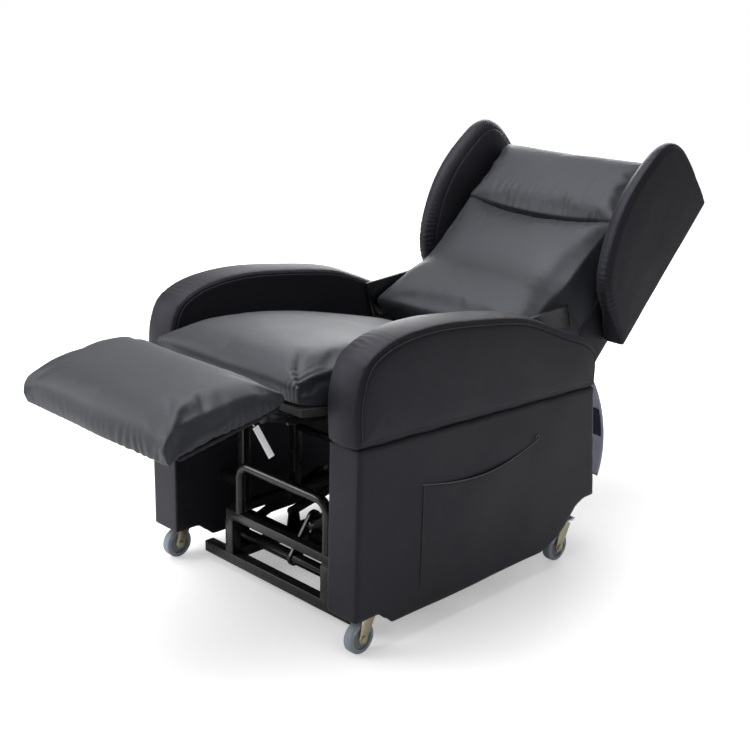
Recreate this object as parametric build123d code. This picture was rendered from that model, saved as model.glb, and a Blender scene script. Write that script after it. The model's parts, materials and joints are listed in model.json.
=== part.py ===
# Lift recliner chair on castors, reclined with its legrest raised.
# X is across the chair (+X is the sitter's left), Y runs from the sitter's feet to the head, Z is up.
# Everything is drawn with Y = 0 at the front faces of the side panels; save() then moves the
# origin to the middle of the chair's footprint, on the floor.
from build123d import *
import os
from math import atan2, cos, degrees, hypot, radians, sin

os.makedirs("parts", exist_ok=True)

# ---- driving dimensions (mm) ----
half_width = 370.0
origin_y = 468.75
panel_thickness = 95.0
arm_thickness = 100.0
panel_bottom = 57.0
panel_depth = 832.0
seam_front_z = 500.0
seam_rear_z = 466.0
seat_half = 254.0
pad_half = 258.5
tube = 25.0
base_tube = 28.0
wall = 2.5
torque_radius = 15.0
base_z = 22.0
base_front_y = 100.0
base_rear_y = 700.0
carrier_bar_y = (250.0, 590.0)
panel_bracket_y = (150.0, 640.0)
rail_x = 190.0
carrier_x = 335.0
castor_front_y = 64.0
castor_rear_y = 775.0
castor_trail = 20.0
wheel_radius = 37.5
wheel_width = 24.0
axle_radius = 5.0
pin_radius = 6.0
running_gap = 0.05
plate_z = 106.0
back_origin = (1002.0, 528.0)
back_angle = radians(45)
back_pivot = (680.0, 548.0)
back_crank = (734.0, 443.0)
back_motor_pivot = (320.0, 330.0)
legrest_pivot = (-40.0, 540.0)
legrest_pad_pivot = (-128.0, 566.0)
front_link_base = (150.0, 78.0)
front_link_top = (430.0, 170.0)
rear_link_base = (330.0, 80.0)
rear_link_top = (700.0, 150.0)
lift_axis_z = front_link_base[1] + 75
lift_pin_y = 202.5
frame_tube = 23.0
frame_z = 143.0
pocket_front_y = 197.0
pocket_rear_y = 605.0
pocket_gap = 5.0


# ---- helpers ----
def save(node, *shapes):
    solids = [Pos(0, -origin_y, 0) * s for shape in shapes for s in shape.solids()]
    whole = solids[0] if len(solids) == 1 else Compound(children=solids)
    export_step(whole, f"parts/{node}.step")


def box(x0, x1, y0, y1, z0, z1):
    middle = Pos((x0 + x1) / 2, (y0 + y1) / 2, (z0 + z1) / 2)
    return middle * Box(x1 - x0, y1 - y0, z1 - z0)


def mirrored(shape):
    return mirror(shape, about=Plane.YZ)


def both_sides(shape):
    return [shape, mirrored(shape)]


def tube_x(x0, x1, y, z, size):
    half = size / 2
    outer = box(x0, x1, y - half, y + half, z - half, z + half)
    inner = half - wall
    return outer - box(x0, x1, y - inner, y + inner, z - inner, z + inner)


def tube_y(y0, y1, x, z, size):
    half = size / 2
    outer = box(x - half, x + half, y0, y1, z - half, z + half)
    inner = half - wall
    return outer - box(x - inner, x + inner, y0, y1, z - inner, z + inner)


def tube_z(z0, z1, x, y, size):
    half = size / 2
    outer = box(x - half, x + half, y - half, y + half, z0, z1)
    inner = half - wall
    return outer - box(x - inner, x + inner, y - inner, y + inner, z0, z1)


def rod_x(radius, x0, x1, y, z):
    return Pos((x0 + x1) / 2, y, z) * Rot(0, 90, 0) * Cylinder(radius, x1 - x0)


def rod_z(radius, z0, z1, x, y):
    return Pos(x, y, (z0 + z1) / 2) * Cylinder(radius, z1 - z0)


def side_face(edges, x0, x1):
    # a closed outline drawn as (y, z), pushed out from x0 to x1
    return extrude(Plane.YZ.offset(x0) * make_face(edges), amount=x1 - x0, dir=(1, 0, 0))


def side_plate(points, x0, x1):
    return side_face(Polyline(*points, close=True), x0, x1)


def link_plate(start, end, width, x0, x1, hole):
    length = hypot(end[0] - start[0], end[1] - start[1])
    turn = degrees(atan2(end[1] - start[1], end[0] - start[0]))
    middle = Pos((start[0] + end[0]) / 2, (start[1] + end[1]) / 2)
    outline = middle * Rot(0, 0, turn) * SlotCenterToCenter(length, width)
    plate = extrude(Plane.YZ.offset(x0) * outline, amount=x1 - x0, dir=(1, 0, 0))
    for y, z in (start, end):
        plate -= rod_x(hole, x0 - 1, x1 + 1, y, z)
    return plate


def back_point(along, out):
    # along runs up the back from the wings' lower rear corner, out is square to it, to the front
    y = back_origin[0] + along * cos(back_angle) - out * sin(back_angle)
    z = back_origin[1] + along * sin(back_angle) + out * cos(back_angle)
    return (y, z)


def back_plate(corners, x0, x1):
    return side_plate([back_point(a, n) for a, n in corners], x0, x1)


# ---- base: floor frame, castor carriers, power supply ----
def base_frame():
    bar_z = base_z + base_tube / 2
    bar_half = 262.0
    cap_length = 12.0
    bars = [tube_x(-bar_half, bar_half, y, bar_z, base_tube) for y in (base_front_y, base_rear_y)]
    inner_x = rail_x - base_tube / 2
    motor_bar_y = 350.0
    bars.append(tube_x(-inner_x, inner_x, motor_bar_y, bar_z, base_tube))
    save("base_cross_bars", *bars)
    rail_start = base_front_y + base_tube / 2
    rail_end = base_rear_y - base_tube / 2
    save("base_side_rails", *both_sides(tube_y(rail_start, rail_end, rail_x, bar_z, base_tube)))
    caps = []
    for y in (base_front_y, base_rear_y):
        half = base_tube / 2
        cap = box(bar_half, bar_half + cap_length, y - half, y + half, base_z, base_z + base_tube)
        cap = fillet(cap.edges().filter_by(Axis.Z).sort_by(Axis.X)[-2:], 4)
        caps += both_sides(cap)
    save("bar_end_caps", *caps)
    post_x = 175.0
    pad_height = 4.7
    post_top = frame_z - pad_height - 0.3
    top_of_base = base_z + base_tube
    save("stop_posts", *both_sides(tube_z(top_of_base, post_top, post_x, base_front_y, base_tube)))
    half = tube / 2
    pad = box(post_x - half, post_x + half, base_front_y - half, base_front_y + half,
              post_top, post_top + pad_height)
    save("stop_pads", *both_sides(pad))


def link_brackets():
    inner = rail_x + base_tube / 2
    plates = []
    pins = []
    for y, z in (front_link_base, rear_link_base):
        outline = [(y - 26, base_z + 4), (y + 26, base_z + 4), (y + 15, z + 14), (y - 15, z + 14)]
        hole = pin_radius if y > 200 else torque_radius + running_gap
        plate = side_plate(outline, inner, inner + 5) - rod_x(hole, inner - 1, inner + 6, y, z)
        plates += both_sides(plate)
    y, z = rear_link_base
    pin = rod_x(pin_radius, inner, inner + 14, y, z) + rod_x(10, inner + 14, inner + 18, y, z)
    pins += both_sides(pin)
    save("base_link_brackets", *plates, *pins)


def castor_carriers():
    cross_z = 64.5
    half = tube / 2
    rail_z = plate_z + 4 + half
    parts = []
    for y in carrier_bar_y:
        parts.append(tube_x(-carrier_x - half, carrier_x + half, y, cross_z, tube))
    posts = []
    for y in carrier_bar_y:
        posts += both_sides(box(carrier_x - half, carrier_x + half, y - half, y + half,
                                cross_z + half, rail_z - half))
    # short blocks carry the cross bars on the base side rails
    for y in carrier_bar_y:
        posts += both_sides(box(rail_x - half, rail_x + half, y - half, y + half,
                                base_z + base_tube, cross_z - half))
    save("castor_carrier_bars", *parts, *posts)
    save("castor_rails", *both_sides(tube_y(28, 800, carrier_x, rail_z, tube)))
    plates = []
    bolts = []
    for y in (castor_front_y, castor_rear_y):
        plate = box(carrier_x - 23, carrier_x + 23, y - 30, y + 30, plate_z, plate_z + 4)
        plate = plate - rod_z(pin_radius + running_gap, plate_z - 1, plate_z + 5, carrier_x, y)
        for dx in (-16, 16):
            for dy in (-23, 23):
                x, hole_y = carrier_x + dx, y + dy
                bolt = extrude(Plane((x, hole_y, plate_z - 4)) * RegularPolygon(5.5, 6), amount=4)
                bolts += both_sides(bolt)
        plates += both_sides(plate)
    save("castor_plates", *plates, *bolts)


def power_supply():
    tray_top = base_z + base_tube + 2.5
    tray = box(62, rail_x + 12, 425, 560, base_z + base_tube, tray_top)
    save("power_tray", tray)
    supply = box(66, 164, 430, 555, tray_top, tray_top + 44)
    supply = fillet(supply.edges().filter_by(Axis.Z), 6)
    supply = fillet(supply.faces().sort_by(Axis.Z)[-1].edges(), 3)
    inlet = box(100, 130, 535, 556, tray_top + 12, tray_top + 32)
    save("power_supply", supply - inlet)


# ---- castors ----
def castors():
    spots = {"front_left": (1, castor_front_y), "front_right": (-1, castor_front_y),
             "rear_left": (1, castor_rear_y), "rear_right": (-1, castor_rear_y)}
    leg_in = wheel_width / 2 + 2
    leg_out = leg_in + 3
    for name, (side, y) in spots.items():
        x = side * carrier_x
        wheel_y = y - castor_trail
        crown = box(x - leg_out, x + leg_out, y - 20, y + 20, 92, 96)
        crown += rod_z(20, 96, plate_z - 0.4, x, y) + rod_z(pin_radius, 96, plate_z + 3.6, x, y)
        outline = [(y + 20, 96), (y - 20, 96), (wheel_y - 13, wheel_radius + 3),
                   (wheel_y - 8, wheel_radius - 11), (wheel_y + 8, wheel_radius - 11),
                   (wheel_y + 13, wheel_radius + 3)]
        fork = crown
        for inner, outer in ((x + leg_in, x + leg_out), (x - leg_out, x - leg_in)):
            leg = side_plate(outline, inner, outer)
            fork = fork + (leg - rod_x(axle_radius, inner - 1, outer + 1, wheel_y, wheel_radius))
        axle = rod_x(axle_radius, x - leg_out, x + leg_out, wheel_y, wheel_radius)
        for head_x in (x - leg_out - 4, x + leg_out):
            axle += rod_x(8, head_x, head_x + 4, wheel_y, wheel_radius)
        save(f"castor_fork_{name}", fork, axle)
        half = wheel_width / 2
        tyre = rod_x(wheel_radius, x - half, x + half, wheel_y, wheel_radius)
        tyre = fillet(tyre.edges().filter_by(GeomType.CIRCLE), 4)
        for cut in (x - half, x + half - 3):
            tyre -= rod_x(25, cut, cut + 3, wheel_y, wheel_radius)
        tyre -= rod_x(axle_radius + running_gap, x - half - 1, x + half + 1, wheel_y, wheel_radius)
        save(f"castor_wheel_{name}", tyre)


# ---- lift links and lift motor ----
def lift_links():
    link_in = 210.0
    link_out = 216.0
    link_width = 26.0
    y, z = front_link_base
    hole = pin_radius + running_gap
    front = link_plate(front_link_base, front_link_top, link_width, link_in, link_out, hole)
    # the base end is welded to the torque tube, so that hole is filled
    front += rod_x(12, link_in, link_out, y, z)
    save("front_lift_links", *both_sides(front))
    rear = link_plate(rear_link_base, rear_link_top, link_width, link_in, link_out, hole)
    slot_gap = 10.5
    ty, tz = rear_link_top
    rear += rod_x(23, link_in, link_out, ty, tz)
    rear -= rod_x(pin_radius + slot_gap, link_in - 1, link_out + 1, ty, tz)
    save("rear_lift_links", *both_sides(rear))
    shaft = rod_x(torque_radius, -link_in, link_in, y, z)
    shaft -= rod_x(torque_radius - 3, -link_in - 1, link_in + 1, y, z)
    crank_angle = 55.0
    reach = 108.0
    slot_from = 73.0
    slot_to = 94.0
    slot_width = 19.0
    crank = Plane.YZ.offset(-5) * Pos(y, z) * Rot(0, 0, crank_angle)
    blank = extrude(crank * Pos(reach / 2, 0) * SlotCenterToCenter(reach, 40), amount=10, dir=(1, 0, 0))
    slot_middle = (slot_from + slot_to) / 2
    slot = crank * Pos(slot_middle, 0) * SlotCenterToCenter(slot_to - slot_from, slot_width)
    blank -= extrude(slot, amount=10, dir=(1, 0, 0))
    blank -= rod_x(torque_radius, -6, 6, y, z)
    save("torque_tube", shaft + blank)


def lift_motor():
    z = lift_axis_z
    housing = Pos(0, 400, z) * Rot(90, 0, 0) * Cylinder(21, 140)
    housing += box(-30, 30, 470, 560, z - 30, z + 30)
    housing += Pos(0, 585, z) * Rot(90, 0, 0) * Cylinder(26, 50)
    housing -= Pos(0, 397, z) * Rot(90, 0, 0) * Cylinder(11.5, 136)
    save("lift_motor", housing)
    front = box(-16, 16, 344, 356, base_z + base_tube, z - 20)
    front += box(-28, 28, 344, 356, z - 30, z + 30)
    front -= Pos(0, 350, z) * Rot(90, 0, 0) * Cylinder(21, 20)
    rear = box(-24, 24, 581, 599, 77, z - 24)
    rear -= Pos(0, 590, z) * Rot(90, 0, 0) * Cylinder(26, 30)
    save("lift_motor_brackets", front, rear)
    fork_end = lift_pin_y + 46
    rod_end = 440
    rod = Pos(0, (fork_end + rod_end) / 2, z) * Rot(90, 0, 0) * Cylinder(11, rod_end - fork_end)
    rod += box(-10.6, 10.6, lift_pin_y - 12, fork_end, z - 11, z + 11)
    rod -= box(-5.6, 5.6, lift_pin_y - 13, fork_end - 8, z - 12, z + 12)
    rod += rod_x(pin_radius, -14, 14, lift_pin_y, z)
    save("lift_rod", rod)


# ---- chair body: lift frame, seat frame, panels, arms, seat ----
def lift_frame():
    half = frame_tube / 2
    z = frame_z + half
    front_bar = tube_x(-rail_x, rail_x, base_front_y, z, frame_tube)
    rails = both_sides(tube_y(base_front_y + half, 735, rail_x, z, frame_tube))
    save("lift_frame_rails", *rails)
    inner = rail_x - half
    save("lift_frame_cross_bars", front_bar, tube_x(-inner, inner, 723, z, frame_tube))
    hoop_right = -145.0
    hoop_left = 170.0
    hoop_top = 293.0
    corner = 34.0
    hoop_radius = 12.5
    foot = frame_z + frame_tube
    path = FilletPolyline((hoop_right, base_front_y, foot), (hoop_right, base_front_y, hoop_top),
                          (hoop_left, base_front_y, hoop_top), (hoop_left, base_front_y, foot),
                          radius=corner)
    section = Plane((hoop_right, base_front_y, foot), z_dir=(0, 0, 1))
    hoop = sweep(section * Circle(hoop_radius), path=path)
    save("lift_frame_hoop", hoop)


def seat_rail_z(y):
    # underside of the seat deck
    return 556.0 - (y + 58.0) * 108.0 / 758.0


def seat_frame():
    half = frame_tube / 2
    foot = frame_z + frame_tube
    posts = []
    for y in (150.0, 320.0, 640.0):
        posts += both_sides(tube_z(foot, seat_rail_z(y) - 27, rail_x, y, frame_tube))
    save("seat_posts", *posts)
    outline = [(-8, seat_rail_z(-8)), (690, seat_rail_z(690)), (690, seat_rail_z(690) - 24),
               (-8, seat_rail_z(-8) - 24)]
    save("seat_rails", *both_sides(side_plate(outline, rail_x - half, rail_x + half)))
    pins = []
    plates = []
    inner = rail_x + half
    for y, z in (front_link_top, rear_link_top):
        plate = side_plate([(y - 24, frame_z), (y + 24, frame_z), (y + 16, z + 16), (y - 16, z + 16)],
                           inner, inner + 5)
        plates += both_sides(plate)
        # the rear pins have wide washers, because their links' eyes are oversized
        washer = 10 if y < 500 else 21
        pin = rod_x(pin_radius, inner + 5, inner + 16, y, z) + rod_x(washer, inner + 16, inner + 20, y, z)
        pins += both_sides(pin)
    y, z = legrest_pivot
    ear = side_plate([(y - 14, z - 14), (y - 14, z + 11), (80, seat_rail_z(80) - 2), (80, z - 28)],
                     inner, inner + 5)
    plates += both_sides(ear - rod_x(10 + running_gap, inner - 1, inner + 6, y, z))
    save("frame_link_plates", *plates, *pins)
    y, z = back_motor_pivot
    save("back_motor_bar", rod_x(10, -rail_x + half, rail_x - half, y, z))
    tubes = []
    for y in panel_bracket_y:
        tubes += both_sides(tube_x(inner, half_width - panel_thickness, y, 218, frame_tube))
    tubes += both_sides(tube_x(inner, pad_half + 5.8, 612, 438, frame_tube))
    save("panel_brackets", *tubes)


def back_hinges():
    y, z = back_pivot
    ear_in = pad_half + 5.8
    ear = side_plate([(600, 425), (600, 450), (y - 16, z + 8), (y, z + 16), (y + 16, z + 8), (700, 425)],
                     ear_in, ear_in + 4)
    pin = rod_x(pin_radius, pad_half + 0.5, ear_in, y, z)
    save("back_hinge_plates", *both_sides(ear), *both_sides(pin))


def seat():
    deck = [(-58, seat_rail_z(-58)), (700, seat_rail_z(700)), (700, seat_rail_z(700) + 18),
            (-58, seat_rail_z(-58) + 18)]
    # a notch lets the back motor's rod swing up
    rod_notch = box(-24, 24, 640, 701, seat_rail_z(700) - 1, seat_rail_z(640) + 19)
    save("seat_deck", side_plate(deck, -seat_half, seat_half) - rod_notch)
    cushion = [(-57, 576), (-84, 597), (-92, 618), (-82, 638), (-45, 652), (154, 652), (273, 635),
               (430, 604), (560, 573), (600, 559), (640, 546), (700, 530), (709, 508), (690, 486), (650, 475)]
    save("seat_cushion", side_plate(cushion, -seat_half, seat_half))


def side_panels():
    inner = half_width - panel_thickness
    notch = [(650, panel_bottom), (688, 66), (722, 82), (752, 104), (777, 130), (793, 147)]
    outline = [(0, seam_front_z), (panel_depth, seam_rear_z), (835, 428), (866, 160), (826, 160)]
    outline += notch[::-1]
    outline += [(118, panel_bottom), (72, 92), (0, 92)]
    panel = side_plate(outline, inner, half_width)
    panel -= box(inner + 12, half_width - 8, 22, panel_depth + 50, 0, 150)
    for y in carrier_bar_y:
        panel -= box(inner - 1, inner + 13, y - 20, y + 45, 0, 88)
    save("side_panel_left", panel)
    save("side_panel_right", mirrored(panel))
    # the pocket stands off the left panel's outer face, open at the top
    hem = [(pocket_rear_y, 377), (578, 368), (466, 358), (359, 354), (257, 355), (pocket_front_y, 371)]
    bottom = 112.0
    bag = side_plate([(pocket_front_y, bottom), (pocket_rear_y, bottom)] + hem,
                     half_width, half_width + pocket_gap + 1.5)
    bag -= box(half_width - 1, half_width + pocket_gap, pocket_front_y + 3, pocket_rear_y - 3,
               bottom + 3, 400)
    save("side_pocket", bag)


def arms():
    crown = [(0, seam_front_z), (-5, 580), (5, 640), (25, 680), (60, 703), (115, 720), (222, 728),
             (360, 717), (450, 703), (535, 690), (615, 662), (695, 628), (790, 590), (826, 558),
             (panel_depth, 530), (panel_depth, seam_rear_z)]
    arm = side_plate(crown, half_width - arm_thickness, half_width)
    save("arm_left", arm)
    save("arm_right", mirrored(arm))


# ---- back: frame, shell, cushion, head pillow, wings ----
def back():
    sides = both_sides(back_plate([(-150, 40), (440, 40), (440, 65), (-150, 65)], 225, 250))
    bars = [back_plate([(a, 40), (a + 25, 40), (a + 25, 65), (a, 65)], -225, 225) for a in (150, 415)]
    foot = back_plate([(-175, 40), (-150.2, 40), (-150.2, 65), (-175, 65)], -260, 260)
    save("back_frame_rails", *sides)
    save("back_frame_bars", *bars, foot)
    shell = back_plate([(-75, -20), (470, -20), (470, 0), (-75, 0)], -268, 268)
    shell += back_plate([(455, 0), (470, 0), (470, 70), (455, 70)], -268, 268)
    for side in both_sides(back_plate([(-75, 0), (455, 0), (455, 110), (-75, 110)], 259.5, 268)):
        shell += side
    save("back_shell", shell)
    y, z = back_pivot
    cy, cz = back_crank
    plate = side_plate([(y - 16, z - 8), (640, 626), (640, 643), (835, 657), (853, 600), (862, 548),
                        (903, 498), (884, 448), (cy + 22, cz - 20), (cy - 16, cz - 20), (y - 4, z - 22)],
                       260, 264)
    lip = side_plate([(640, 640), (640, 643), (835, 657), (835, 654)], 264, 268.5)
    plate = plate + lip - rod_x(pin_radius + running_gap, 250, 275, y, z)
    save("back_side_plates", *both_sides(plate))
    save("back_crank_tube", rod_x(12.5, -260, 260, cy, cz))
    cushion = [back_point(a, n) for a, n in ((236, 72), (236, 214), (120, 234), (10, 248), (-46, 271),
                                             (-102, 286), (-139, 296))]
    cushion += [(640, 612), (646, 588), (690, 558), (760, 530)]
    cushion.append(back_point(-146, 72))
    save("back_cushion", side_plate(cushion, -pad_half, pad_half))
    pillow = [(242, 72), (450, 72), (474, 100), (480, 140), (470, 178), (440, 200), (340, 214), (242, 214)]
    save("head_pillow", back_plate(pillow, -pad_half, pad_half))
    rim = [(484, 0), (497, 70), (505, 140), (501, 205), (482, 248), (440, 276), (345, 292), (280, 293),
           (215, 282), (160, 262), (112, 237), (72, 207), (42, 165), (24, 108), (8, 30), (0, 0)]
    wing = back_plate(rim, 269, 333)
    save("wing_left", wing)
    save("wing_right", mirrored(wing))


def rear_drape():
    outer = [(967, 450), (994, 414), (1018, 374), (1042, 325), (1060, 262), (1064, 188), (1049, 133)]
    inner = [(y - 3, z) for y, z in outer[::-1]]
    save("rear_drape", side_plate(outer + inner, -256, 256))


# ---- legrest ----
def legrest():
    y, z = legrest_pivot
    py, pz = legrest_pad_pivot
    arm = link_plate(legrest_pivot, legrest_pad_pivot, 20, 212, 218, pin_radius + running_gap)
    arm += rod_x(10, 212, 218, y, z)
    save("legrest_links", *both_sides(arm))
    save("legrest_torque_tube", rod_x(10, -212, 212, y, z))
    ear = side_plate([(py - 30, pz + 8), (py - 12, pz - 12), (py + 10, pz - 12), (py + 12, pz + 16)], 219, 224)
    ears = both_sides(ear)
    pins = both_sides(rod_x(pin_radius, 211, 219, py, pz))
    save("legrest_brackets", *ears, *pins)
    board = [(-374, 537), (-122, 583), (-110, 598), (-370, 550)]
    save("legrest_board", side_plate(board, -255, 255))
    # the cushion's front lip hangs in front of the board
    cushion = [(-376.5, 550), (-110, 599), (-101, 612), (-103, 626), (-139, 641), (-170, 648), (-221, 650),
               (-296, 642), (-369, 624), (-402, 606), (-411, 584), (-408, 556), (-392, 532), (-376.5, 535)]
    save("legrest_cushion", side_plate(cushion, -260, 260))
    label = Pos(138, -62, 468) * Rot(0, 45, 0) * Box(68, 1, 23)
    strap = side_plate([(-127, 580), (-125, 580), (-62, 492), (-64, 492)], 109, 113)
    save("blank_label", label + strap)


# ---- back motor ----
def back_motor():
    start = back_motor_pivot
    length = hypot(back_crank[0] - start[0], back_crank[1] - start[1])
    turn = degrees(atan2(back_crank[1] - start[1], back_crank[0] - start[0]))
    place = Pos(0, start[0], start[1]) * Rot(turn, 0, 0)

    def barrel(radius, s0, s1):
        return place * Pos(0, (s0 + s1) / 2, 0) * Rot(90, 0, 0) * Cylinder(radius, s1 - s0)

    eye = rod_x(20, -15, 15, start[0], start[1]) + barrel(14, 12, 40)
    body = eye + place * Pos(0, 75, 0) * Box(60, 80, 60) + barrel(21, 110, 300)
    body -= rod_x(10 + running_gap, -16, 16, start[0], start[1])
    body -= barrel(11.5, 120, 301)
    save("back_motor", body)
    eye_gap = 5.0
    ring = rod_x(12.5 + eye_gap + 7, -12, 12, *back_crank)
    rod = barrel(11, 130, length - 18) + ring - rod_x(12.5 + eye_gap, -13, 13, *back_crank)
    save("back_motor_rod", rod)


base_frame()
link_brackets()
castor_carriers()
power_supply()
castors()
lift_links()
lift_motor()
lift_frame()
seat_frame()
back_hinges()
seat()
side_panels()
arms()
back()
rear_drape()
legrest()
back_motor()
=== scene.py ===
import json
import math
import bmesh
import bpy
import numpy as np
from mathutils import Matrix, Vector
from mathutils.bvhtree import BVHTree


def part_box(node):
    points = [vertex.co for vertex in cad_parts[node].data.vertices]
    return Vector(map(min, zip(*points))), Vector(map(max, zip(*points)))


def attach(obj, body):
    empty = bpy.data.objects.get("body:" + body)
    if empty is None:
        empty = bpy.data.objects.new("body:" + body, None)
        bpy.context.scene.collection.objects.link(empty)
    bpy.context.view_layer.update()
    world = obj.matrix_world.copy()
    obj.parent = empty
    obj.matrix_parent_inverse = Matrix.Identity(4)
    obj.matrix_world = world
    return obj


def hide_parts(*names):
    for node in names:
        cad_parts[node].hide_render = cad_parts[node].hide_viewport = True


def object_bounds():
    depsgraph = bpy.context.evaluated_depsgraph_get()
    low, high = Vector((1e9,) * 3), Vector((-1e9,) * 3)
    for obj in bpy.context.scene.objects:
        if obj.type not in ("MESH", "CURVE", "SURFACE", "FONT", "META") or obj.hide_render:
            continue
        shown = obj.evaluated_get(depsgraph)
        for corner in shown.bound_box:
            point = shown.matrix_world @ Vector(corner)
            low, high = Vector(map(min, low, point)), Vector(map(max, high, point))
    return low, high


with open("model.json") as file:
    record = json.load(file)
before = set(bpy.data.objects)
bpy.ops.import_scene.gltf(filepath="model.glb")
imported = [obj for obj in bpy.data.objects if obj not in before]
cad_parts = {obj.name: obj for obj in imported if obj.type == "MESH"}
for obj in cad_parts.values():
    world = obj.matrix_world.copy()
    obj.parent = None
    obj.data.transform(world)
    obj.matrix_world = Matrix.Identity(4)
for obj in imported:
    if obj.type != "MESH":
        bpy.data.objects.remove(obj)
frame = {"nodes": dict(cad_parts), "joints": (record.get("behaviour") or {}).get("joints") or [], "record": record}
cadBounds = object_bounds()
scene = bpy.context.scene
nodes = frame["nodes"]

# the view, the floor and the lights
view = {"target": (0.044, -0.09875, 0.512), "azimuth": 44.643, "elevation": 17.562,
        "roll": 1.44, "distance": 3.148, "lens": 61.94}


def aim(place, target):
    return (Vector(target) - Vector(place)).to_track_quat("-Z", "Y")


def makeCamera():
    azimuth, elevation = math.radians(view["azimuth"]), math.radians(view["elevation"])
    back = Vector((math.sin(azimuth) * math.cos(elevation), -math.cos(azimuth) * math.cos(elevation),
                   math.sin(elevation)))
    target = Vector(view["target"])
    place = target + back * view["distance"]
    data = bpy.data.cameras.new("viewCamera")
    data.sensor_width = 36
    data.lens = view["lens"]
    camera = bpy.data.objects.new("viewCamera", data)
    scene.collection.objects.link(camera)
    turn = aim(place, target).to_matrix() @ Matrix.Rotation(math.radians(view["roll"]), 3, "Z")
    camera.location = place
    camera.rotation_euler = turn.to_euler()
    scene.camera = camera


lights = {
    "topSoftbox": {"at": (-0.5, -0.5, 3.2), "aim": (0.0, 0.0, 0.4), "size": 2.6, "power": 88},
    "frontSoftbox": {"at": (-2.3, -2.9, 1.9), "aim": (0.0, -0.2, 0.5), "size": 1.9, "power": 62},
    "backWall": {"at": (-2.3, 3.3, 1.7), "aim": (0.0, 0.1, 0.6), "size": 3.0, "power": 95},
    "sideFill": {"at": (3.3, -1.2, 1.8), "aim": (0.1, 0.0, 0.4), "size": 2.0, "power": 4},
}
worldLight = {"seen": 1.0, "cast": 0.24}
# painted glow of the floor, seen by the camera only: near the chair and far from it
floorGlow = {"near": 0.35, "far": 0.95}


def makeLights():
    for name, light in lights.items():
        data = bpy.data.lights.new(name, "AREA")
        data.shape = "SQUARE"
        data.size = light["size"]
        data.energy = light["power"]
        lamp = bpy.data.objects.new(name, data)
        scene.collection.objects.link(lamp)
        lamp.location = light["at"]
        lamp.rotation_euler = aim(light["at"], light["aim"]).to_euler()
    world = bpy.data.worlds.new("paleStudio")
    world.use_nodes = True
    tree = world.node_tree
    path = tree.nodes.new("ShaderNodeLightPath")
    strength = tree.nodes.new("ShaderNodeMapRange")
    strength.inputs["To Min"].default_value = worldLight["cast"]
    strength.inputs["To Max"].default_value = worldLight["seen"]
    tree.links.new(path.outputs["Is Camera Ray"], strength.inputs["Value"])
    tree.links.new(strength.outputs["Result"], tree.nodes["Background"].inputs["Strength"])
    tree.nodes["Background"].inputs["Color"].default_value = (1, 1, 1, 1)
    scene.world = world
    scene.view_settings.view_transform = "Standard"


# node helpers
def newMaterial(name):
    material = bpy.data.materials.new(name)
    material.use_nodes = True
    tree = material.node_tree
    return material, tree, tree.nodes["Principled BSDF"]


def addNode(tree, kind, label="", **settings):
    node = tree.nodes.new(kind)
    node.label = label
    for key, value in settings.items():
        setattr(node, key, value)
    return node


def put(node, values):
    for key, value in values.items():
        node.inputs[key].default_value = value


def ramp(tree, source, low, high, label=""):
    # a smooth step of a value between two limits
    node = addNode(tree, "ShaderNodeMapRange", label, interpolation_type="SMOOTHSTEP")
    put(node, {"From Min": low, "From Max": high})
    tree.links.new(source, node.inputs["Value"])
    return node.outputs["Result"]


def mixColours(tree, mask, first, second, label=""):
    node = addNode(tree, "ShaderNodeMix", label, data_type="RGBA")
    tree.links.new(mask, node.inputs["Factor"])
    for socket, value in ((node.inputs[6], first), (node.inputs[7], second)):
        if isinstance(value, tuple):
            socket.default_value = (*value, 1)
        else:
            tree.links.new(value, socket)
    return node.outputs[2]


def mixValues(tree, mask, first, second, label=""):
    node = addNode(tree, "ShaderNodeMapRange", label)
    put(node, {"To Min": first, "To Max": second})
    tree.links.new(mask, node.inputs["Value"])
    return node.outputs["Result"]


def calc(tree, operation, first, second, label=""):
    node = addNode(tree, "ShaderNodeMath", label, operation=operation)
    for socket, value in ((node.inputs[0], first), (node.inputs[1], second)):
        if isinstance(value, (int, float)):
            socket.default_value = value
        else:
            tree.links.new(value, socket)
    return node.outputs[0]


def newGroup(name, inputs, outputs):
    group = bpy.data.node_groups.new(name, "ShaderNodeTree")
    for label, kind, value in inputs:
        socket = group.interface.new_socket(name=label, in_out="INPUT", socket_type=kind)
        if value is not None:
            socket.default_value = value
    for label in outputs:
        group.interface.new_socket(name=label, in_out="OUTPUT", socket_type="NodeSocketFloat")
    return group, group.nodes.new("NodeGroupInput"), group.nodes.new("NodeGroupOutput")


def noiseNode(tree, vector, scale, detail, label=""):
    node = addNode(tree, "ShaderNodeTexNoise", label)
    put(node, {"Detail": detail})
    tree.links.new(vector, node.inputs["Vector"])
    if isinstance(scale, (int, float)):
        node.inputs["Scale"].default_value = scale
    else:
        tree.links.new(scale, node.inputs["Scale"])
    return node.outputs["Fac"]


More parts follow.
